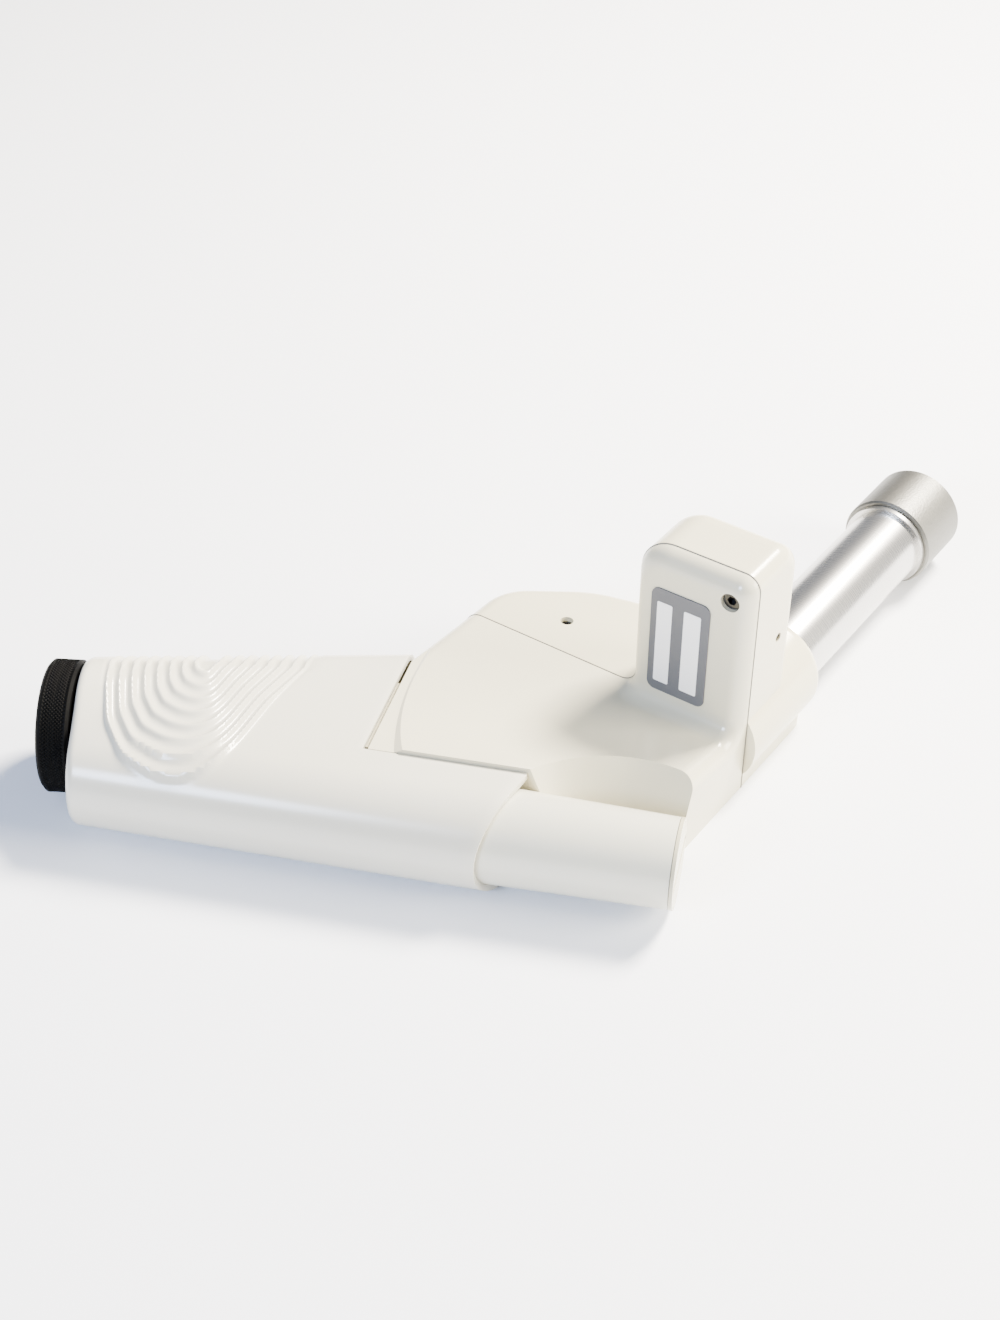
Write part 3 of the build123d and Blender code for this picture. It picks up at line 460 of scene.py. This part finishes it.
    def rib_reach(self, angle: Numbers) -> Numbers:
        """Radius of the outermost rib by angle: its points joined up, then averaged over a few degrees."""
        points = np.array(self.outer_rib)
        step = np.linspace(0, len(points) - 1, self.rib_samples)
        joined = np.stack([np.interp(step, np.arange(len(points)), axis) for axis in points.T], -1)
        turn = np.linspace(0, np.pi, self.rib_samples)
        reach = np.interp(turn, np.arctan2(joined[:, 1], joined[:, 0]), np.hypot(*joined.T))
        weights = np.hanning(2 * self.rib_ease + 1)
        padded = np.pad(reach, self.rib_ease, mode="reflect")
        smooth = np.convolve(padded, weights / weights.sum(), mode="valid")
        return np.interp(angle, turn, smooth)

    def relief(self, x: Numbers, reach: Numbers) -> Numbers:
        """Height of the ribbed panel over the plain shell.

        The ribs are eight scaled copies of one rounded loop, round a centre on the back edge.
        Each crest is a bell curve across the loop.  The panel sinks below the shell towards the
        back-most line and comes level with it at the loop's far end.
        """
        along = x - self.rib_centre[0]
        round_by = np.abs(reach) - self.rib_centre[1]
        down = np.maximum(round_by, 0)
        past_back = np.maximum(-round_by, 0)
        spread = np.hypot(along, down)
        gauge = spread / self.rib_reach(np.arctan2(down, along))
        straight = np.abs(along) / self.rib_reach(np.where(along > 0, 0.0, np.pi))
        gauge = np.where(past_back > 0, straight, gauge)
        inside = 1 - eased((gauge - 1.0) / self.rib_fade)
        ring = gauge * self.rib_count
        off = ring - np.clip(np.round(ring), 1, self.rib_count)
        crest = np.exp(-((off / self.rib_width) ** 2))
        sunk = self.recess * (1 - eased(down / self.recess_depth))
        return crest * self.rib_height * inside - sunk * inside + self.rib_trace * crest * (1 - inside)

    def stations(self) -> tuple[Numbers, int]:
        """Station numbers along the grip, and the row at which the cut-out starts.

        A station from 0 to 1 runs from the end face to the cut-out, and one from 1 to 2 runs on
        to the curved tip.  They are close together over the ribs.
        """
        rows, start = [np.zeros(1)], 0.0
        for end, count in self.stretches:
            rows.append(np.linspace(start, end, count)[1:])
            start = end
        body = np.concatenate(rows)
        tail = 1 + np.linspace(0, 1, self.tip_rows)[1:]
        return np.concatenate([body, tail]), len(body) - 1

    def end_x(self, points: Numbers) -> Numbers:
        """X of the end face at a point's height and depth: the plane across the eyepiece axis."""
        off = points - np.array(self.ring_centre)
        return self.ring_centre[0] + (
            self.end_at - self.eye_dir[1] * off[..., 1] - self.eye_dir[2] * off[..., 2]
        ) / self.eye_dir[0]

    def tip_x(self, points: Numbers) -> Numbers:
        """X of the tip's edge at a point's depth: a parabola through the curve's three points."""
        x, y = np.array(self.tip_curve).T
        return np.polyval(np.polyfit(y, x, 2), points[..., 1])

    def spread(self, x: Numbers, w: Numbers, side: int) -> Numbers:
        """Distance round the section at a column: w is 1 at the cut-out's edge and 2 at the front."""
        whole = self.half(x, side)["whole"]
        seam = self.seam_reach(x, side)
        return np.where(w <= 1, w * seam, seam + (w - 1) * (whole - seam))

    def surface(self, inset: float) -> tuple[Numbers, int, list[int]]:
        """Grid of the shell's outside, or its inside by the inset.

        Returns:
            The grid, the row where the cut-out starts, and the columns between which the cheek lies.
        """
        station, open_row = self.stations()
        halves = []
        for side in (1, -1):
            share = np.linspace(0, 1, self.back_count + 1)
            beyond = np.linspace(0, 1, self.near_count + 1)[1:]
            steps = np.concatenate([share, 1 + beyond])
            s, w = np.meshgrid(station, steps, indexing="ij")
            x = np.where(s <= 1, self.left_x + s * (self.open_x - self.left_x), self.open_x)
            # The ends depend on the point's own height and depth, so the stations settle in rounds.
            for _ in range(self.settle_rounds):
                point, _normal = self.walk(x, self.spread(x, w, side), side)
                start = self.end_x(point)
                finish = self.tip_x(point)
                x = np.where(
                    s <= 1,
                    start + s * (self.open_x - start),
                    self.open_x + (s - 1) * (finish - self.open_x),
                )
            reach = self.spread(x, w, side)
            point, normal = self.walk(x, reach, side)
            depth = np.full_like(x, -inset)
            if inset == 0:
                from_end = np.clip(x - self.end_x(point), 0, self.end_round)
                depth = -(self.end_round - np.sqrt(self.end_round**2 - (self.end_round - from_end) ** 2))
                raised = self.relief(x, reach)
                # The side that the grip rests on has no rib standing proud of it.
                depth = depth + (raised if side > 0 else np.minimum(raised, 0.0))
            point = point + normal * depth[..., None]
            halves.append(point)
        top, bottom = halves
        grid = np.concatenate([top, bottom[:, -2:0:-1]], axis=1)
        cheek = [self.back_count, grid.shape[1] - self.back_count]
        return grid, open_row, cheek

    def end_rows(self, contour: Numbers, at: float) -> Numbers:
        """Contour drawn in, in the plane across the eyepiece axis, to the eyepiece's hole."""
        axis = np.array(self.eye_dir)
        centre = np.array(self.ring_centre) + axis * at
        off = contour - centre
        flat = off - (off @ axis)[:, None] * axis
        return centre + flat * (self.hole_r / np.linalg.norm(flat, axis=1))[:, None]

    def build(self, palette: Palette) -> None:
        """Make the shell as one closed surface and dress it."""
        outer, open_row, (first, last) = self.surface(0)
        inner, _, _ = self.surface(self.wall)
        inner[0, :, 0] += self.end_wall - (inner[0, :, 0] - self.end_x(inner[0]))
        shift = np.clip(1 - np.arange(len(inner)) / self.inner_rows, 0, 1)[:, None] * self.end_wall
        inner[1:, :, 0] += shift[1:] * (inner[1:, :, 0] < self.open_x - self.inner_clear)
        rows, columns = outer.shape[:2]
        hole_out = self.end_rows(outer[0], self.end_at)
        hole_in = self.end_rows(outer[0], self.end_at + self.end_wall)
        points = np.concatenate([outer.reshape(-1, 3), inner.reshape(-1, 3), hole_out, hole_in])
        i, j = np.meshgrid(np.arange(rows - 1), np.arange(columns), indexing="ij")
        kept = (i < open_row) | ((j >= first) & (j < last))
        m = (j + 1) % columns

        def quads(base: int, flip: bool) -> Numbers:
            """Faces of one grid where the shell is there."""
            corners = [i * columns + j, (i + 1) * columns + j, (i + 1) * columns + m, i * columns + m]
            corners = corners[::-1] if flip else corners
            return (np.stack(corners, -1) + base)[kept]

        under = rows * columns
        parts = [quads(0, False), quads(under, True)]
        around = np.arange(columns)
        follow = (around + 1) % columns

        def bridge(a: Numbers, b: Numbers, c: Numbers, d: Numbers) -> Numbers:
            """Faces between two runs of edges."""
            return np.stack([a, b, c, d], -1)

        open_edge = around[(around < first) | (around >= last)]
        a = open_row * columns + open_edge
        b = open_row * columns + (open_edge + 1) % columns
        parts.append(bridge(a, a + under, b + under, b))
        cheek_edge = around[(around >= first) & (around < last)]
        a = (rows - 1) * columns + cheek_edge
        b = (rows - 1) * columns + cheek_edge + 1
        parts.append(bridge(a, a + under, b + under, b))
        down = np.arange(open_row, rows - 1)
        for column in (first, last):
            a = down * columns + column
            b = (down + 1) * columns + column
            parts.append(bridge(a, b, b + under, a + under))
        out_ring, in_ring = 2 * under, 2 * under + columns
        parts.append(bridge(around, follow, out_ring + follow, out_ring + around))
        parts.append(bridge(out_ring + around, out_ring + follow, in_ring + follow, in_ring + around))
        parts.append(bridge(in_ring + around, in_ring + follow, under + follow, under + around))

        piece = new_piece("grip_body", points, np.concatenate(parts))
        work = bmesh.new()
        work.from_mesh(piece.data)
        loose = [v for v in work.verts if not v.link_faces]
        bmesh.ops.delete(work, geom=loose, context="VERTS")
        bmesh.ops.recalc_face_normals(work, faces=work.faces)
        work.to_mesh(piece.data)
        work.free()
        soften_edges(piece, self.edge_round)
        settle(piece, "grip", palette.slot("cream_grip"))
        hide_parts("grip_shell")


def soften_edges(piece: bpy.types.Object, width: float, angle: float = 50.0) -> None:
    """Round a piece's sharp edges with a small bevel."""
    bevel = piece.modifiers.new("edges", "BEVEL")
    bevel.width = width * MM
    bevel.segments = 2
    bevel.limit_method = "ANGLE"
    bevel.angle_limit = radians(angle)


# ---------------------------------------------------------------- eyepiece ring
@dataclass
class FocusRing:
    """Eyepiece ring with a diamond knurl: a profile turned round the eyepiece axis."""

    centre: tuple[float, float, float] = (-129.0, -33.0, 20.5)
    axis: tuple[float, float, float] = (0.984474, 0.173429, -0.027089)
    radius: float = 19.8
    length: float = 9.4
    eye_r: float = 11.0
    bore_r: float = 15.08
    web: float = 1.5
    knurl_count: int = 110
    knurl_depth: float = 0.35
    knurl_from: float = 1.6
    knurl_to: float = 8.0
    flank: float = 1.6
    root: float = 0.1
    chamfer: float = 0.8
    profile_rows: int = 26
    columns: int = 880
    crisp_degrees: float = 32.0

    def profile(self) -> Numbers:
        """Distance along the axis and radius, once round the ring's section."""
        edge = self.chamfer
        outside = np.linspace(edge, self.length - edge, self.profile_rows)
        face = [(0.0, self.radius - edge), (0.0, 17.2), (0.35, 16.9), (0.35, 13.2), (0.0, 12.9)]
        cup = [
            (0.0, self.eye_r + 1.0), (0.5, self.eye_r + 0.2), (self.web, self.eye_r), (self.web, self.bore_r),
        ]
        back = [(self.length, self.bore_r), (self.length, self.radius - edge)]
        turned = [(a, self.radius) for a in outside[::-1]]
        return np.array(face + cup + back + turned)

    def build(self, palette: Palette) -> None:
        """Turn the profile, press the knurl in and dress the ring."""
        profile = self.profile()
        angle = np.linspace(0, 2 * np.pi, self.columns, endpoint=False)
        along, turn = np.meshgrid(profile[:, 0], angle, indexing="ij")
        radius = np.repeat(profile[:, 1:2], self.columns, axis=1)
        # Two sets of slanted grooves cross: each is a triangle wave of the angle plus or minus the
        # distance along, at 45 degrees to the axis.
        slant = along / self.radius
        per_turn = self.knurl_count / (2 * np.pi)
        waves = [np.abs(((turn + way * slant) * per_turn % 1.0) - 0.5) * 2 for way in (1, -1)]
        cut = 1 - np.minimum(1.0, np.minimum(*waves) * self.flank + self.root)
        on_band = (radius > self.radius - 0.01) & (along > self.knurl_from) & (along < self.knurl_to)
        radius = radius - cut * self.knurl_depth * on_band
        axis = Vector(self.axis)
        side = Vector((0, 0, 1)).cross(axis).normalized()
        up = axis.cross(side)
        centre = np.array(self.centre)
        points = (
            centre
            + along[..., None] * np.array(axis)
            + (radius * np.cos(turn))[..., None] * np.array(side)
            + (radius * np.sin(turn))[..., None] * np.array(up)
        )
        piece = new_piece("focus_ring_knurled", points.reshape(-1, 3), torus_faces(*along.shape))
        face_outwards(piece)
        settle(piece, "ring", palette.slot("black_ring"))
        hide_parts("focus_ring")
        sharp_by_angle(piece, self.crisp_degrees)


def sharp_by_angle(piece: bpy.types.Object, degrees_limit: float) -> None:
    """Break the shading where two faces meet at more than an angle."""
    work = bmesh.new()
    work.from_mesh(piece.data)
    limit = radians(degrees_limit)
    for edge in work.edges:
        edge.smooth = edge.calc_face_angle(0.0) < limit
    work.to_mesh(piece.data)
    work.free()


# ---------------------------------------------------------------- label and parting line
@dataclass
class FacePlane:
    """The label face's own axes: across to the right, up, and out towards the reader."""

    foot: tuple[float, float] = (58.2, 8.2)

    @property
    def along(self) -> Numbers:
        """Direction of the barrel, into the instrument."""
        return np.array([np.cos(BARREL_TURN), np.sin(BARREL_TURN), 0.0])

    @property
    def right(self) -> Numbers:
        """Direction to the reader's right."""
        return np.array([np.sin(BARREL_TURN), -np.cos(BARREL_TURN), 0.0])

    def place(self, across: Numbers, height: Numbers, out: Numbers) -> Numbers:
        """Row-frame positions in millimetres from the face's own coordinates."""
        base = np.array([*self.foot, 0.0])
        up = np.array([0.0, 0.0, 1.0])
        return base + across[..., None] * self.right + height[..., None] * up - out[..., None] * self.along


@dataclass
class Label:
    """Rating label: two blank white windows on the grey plate."""

    plane: FacePlane = field(default_factory=FacePlane)
    centre: tuple[float, float] = (-8.5, 47.0)
    windows: tuple = ((-13.6, 46.4, 5.0, 29.0), (-4.4, 46.4, 5.6, 29.0))
    plate_out: float = 0.4
    proud: float = 0.06
    corner: float = 0.5
    corners: int = 32
    inner_share: float = 0.6
    sunk_share: float = 0.5

    def build(self, palette: Palette) -> None:
        """Make each window as a thin rounded slip."""
        for number, (across, height, wide, tall) in enumerate(self.windows):
            turn = np.linspace(0, 2 * np.pi, self.corners, endpoint=False)
            # A rounded rectangle is a small circle slid out to each of the four corners in turn.
            x = across + np.sign(np.cos(turn)) * (wide / 2 - self.corner) + self.corner * np.cos(turn)
            z = height + np.sign(np.sin(turn)) * (tall / 2 - self.corner) + self.corner * np.sin(turn)
            shares = np.array([self.inner_share, 1.0, 1.0, self.inner_share])
            outs = self.plate_out + self.proud * np.array([1.0, 1.0, -self.sunk_share, -self.sunk_share])
            grid = self.plane.place(
                across + shares[:, None] * (x - across),
                height + shares[:, None] * (z - height),
                outs[:, None] * np.ones_like(x),
            )
            count = len(turn)
            poles = self.plane.place(np.array([across, across]), np.array([height, height]), outs[[0, -1]])
            points = np.concatenate([grid.reshape(-1, 3), poles])
            strip = torus_faces(4, count)[: 3 * count]
            j = np.arange(count)
            front = [[4 * count, a, (a + 1) % count] for a in j.tolist()]
            back = [[4 * count + 1, 3 * count + (a + 1) % count, 3 * count + a] for a in j.tolist()]
            piece = new_piece(f"label_window_{number}", points, strip.tolist() + front + back, smooth=False)
            face_outwards(piece)
            settle(piece, "housing", palette.get(WINDOW_PAPER))


@dataclass
class PartingLine:
    """Fine line where the two housings meet: the outline of their shared plane, drawn as a bead whose dark
    grey is painted shadow of the seam's gap.
    """

    plane: FacePlane = field(default_factory=FacePlane)
    at: float = 5.0
    probe: float = 0.05
    bead_r: float = 0.22
    weld: float = 0.002

    def build(self, palette: Palette) -> None:
        """Cut the front housing just inside the plane and lay a thin bead along the cut."""
        work = bmesh.new()
        work.from_mesh(frame["nodes"]["front_housing"].data)
        bmesh.ops.remove_doubles(work, verts=work.verts, dist=self.weld * MM)
        point = self.plane.place(np.array(0.0), np.array(0.0), np.array(-(self.at - self.probe))) * MM
        every = work.verts[:] + work.edges[:] + work.faces[:]
        bmesh.ops.bisect_plane(
            work, geom=every, plane_co=point, plane_no=self.plane.along, clear_inner=True, clear_outer=True
        )
        mesh = bpy.data.meshes.new("parting_line")
        work.to_mesh(mesh)
        work.free()
        piece = bpy.data.objects.new("parting_line", mesh)
        bpy.context.collection.objects.link(piece)
        bpy.ops.object.select_all(action="DESELECT")
        piece.select_set(True)
        bpy.context.view_layer.objects.active = piece
        bpy.ops.object.convert(target="CURVE")
        curve = bpy.context.view_layer.objects.active
        curve.data.dimensions = "3D"
        curve.data.bevel_depth = self.bead_r * MM
        curve.data.bevel_resolution = 1
        bpy.ops.object.convert(target="MESH")
        bead = bpy.context.view_layer.objects.active
        bead.name = "parting_line"
        face_outwards(bead)
        # The bead's grey is painted shadow of the seam's gap.
        settle(bead, "housing", palette.get(SEAM_PAINTED_SHADOW))


# ---------------------------------------------------------------- studio
@dataclass
class Studio:
    """Pale floor, soft light and the camera."""

    camera_at: tuple[float, float, float] = (0.1002, -0.4411, 0.4091)
    camera_dir: tuple[float, float, float] = (-0.1721, 0.7574, -0.6299)
    lens_mm: float = 54.55
    sensor_mm: float = 36.0
    floor_half: float = 3.0
    floor_steps: int = 8
    floor_drop: float = 0.02
    middle: tuple[float, float, float] = (0.0, 0.0, 0.02)
    # Name, place, size, power and colour of each light.
    lights: tuple = (
        ("overhead", (0.55, 0.65, 1.0), 0.35, 130.0, "fff6e8"),
        ("front_fill", (-0.46, -0.885, 0.66), 0.28, 20.0, "cfdfff"),
        ("right_edge", (1.2, 0.0, 0.6), 0.6, 50.0, "fff8e8"),
    )
    sky: str = "e6eeff"
    sky_strength: float = 0.45
    near_clip: float = 0.01
    far_clip: float = 20.0

    def floor(self) -> None:
        """A wide level sheet under the object, white and matt."""
        edge = self.floor_half / MM
        row = self.floor_steps + 1
        steps = np.linspace(-edge, edge, row)
        x, y = np.meshgrid(steps, steps, indexing="ij")
        points = np.stack([x, y, np.full_like(x, -self.floor_drop)], -1).reshape(-1, 3)
        i, j = np.meshgrid(np.arange(self.floor_steps), np.arange(self.floor_steps), indexing="ij")
        corner = i * row + j
        faces = np.stack([corner, corner + row, corner + row + 1, corner + 1], -1).reshape(-1, 4)
        sheet = new_piece("floor", points, faces)
        paper = Finish("matt_white_paper", "eef0f5", "ebedf3", 0.6, Grain.PRINTED, 2.0, 0.01, specular=0.2,
                       tint_mm=300.0)
        sheet.data.materials.append(paper.build())

    def light(self, name: str, at: tuple, size: float, power: float, colour: str) -> None:
        """One square soft light that points at the object's middle."""
        lamp = bpy.data.lights.new(name, "AREA")
        lamp.size = size
        lamp.energy = power
        lamp.color = linear(colour)[:3]
        holder = bpy.data.objects.new(name, lamp)
        holder.location = at
        holder.rotation_mode = "QUATERNION"
        holder.rotation_quaternion = (Vector(self.middle) - Vector(at)).to_track_quat("-Z", "Y")
        bpy.context.collection.objects.link(holder)

    def camera(self) -> None:
        """The camera, level, at its distance and angle."""
        data = bpy.data.cameras.new("camera")
        data.lens = self.lens_mm
        data.sensor_width = self.sensor_mm
        data.clip_start = self.near_clip
        data.clip_end = self.far_clip
        holder = bpy.data.objects.new("camera", data)
        holder.location = self.camera_at
        holder.rotation_mode = "QUATERNION"
        holder.rotation_quaternion = Vector(self.camera_dir).to_track_quat("-Z", "Y")
        bpy.context.collection.objects.link(holder)
        bpy.context.scene.camera = holder

    def build(self) -> None:
        """Set out floor, lights, sky and camera."""
        self.floor()
        for light in self.lights:
            self.light(*light)
        world = bpy.data.worlds.new("sky")
        world.use_nodes = True
        background = world.node_tree.nodes["Background"]
        background.inputs["Color"].default_value = linear(self.sky)
        background.inputs["Strength"].default_value = self.sky_strength
        bpy.context.scene.world = world
        self.camera()


def main() -> None:
    """Build the looks in order."""
    palette = Palette()
    palette.dress_frame()
    Studio().build()
    Grip().build(palette)
    FocusRing().build(palette)
    Label().build(palette)
    PartingLine().build(palette)


if __name__ == "__main__":
    main()
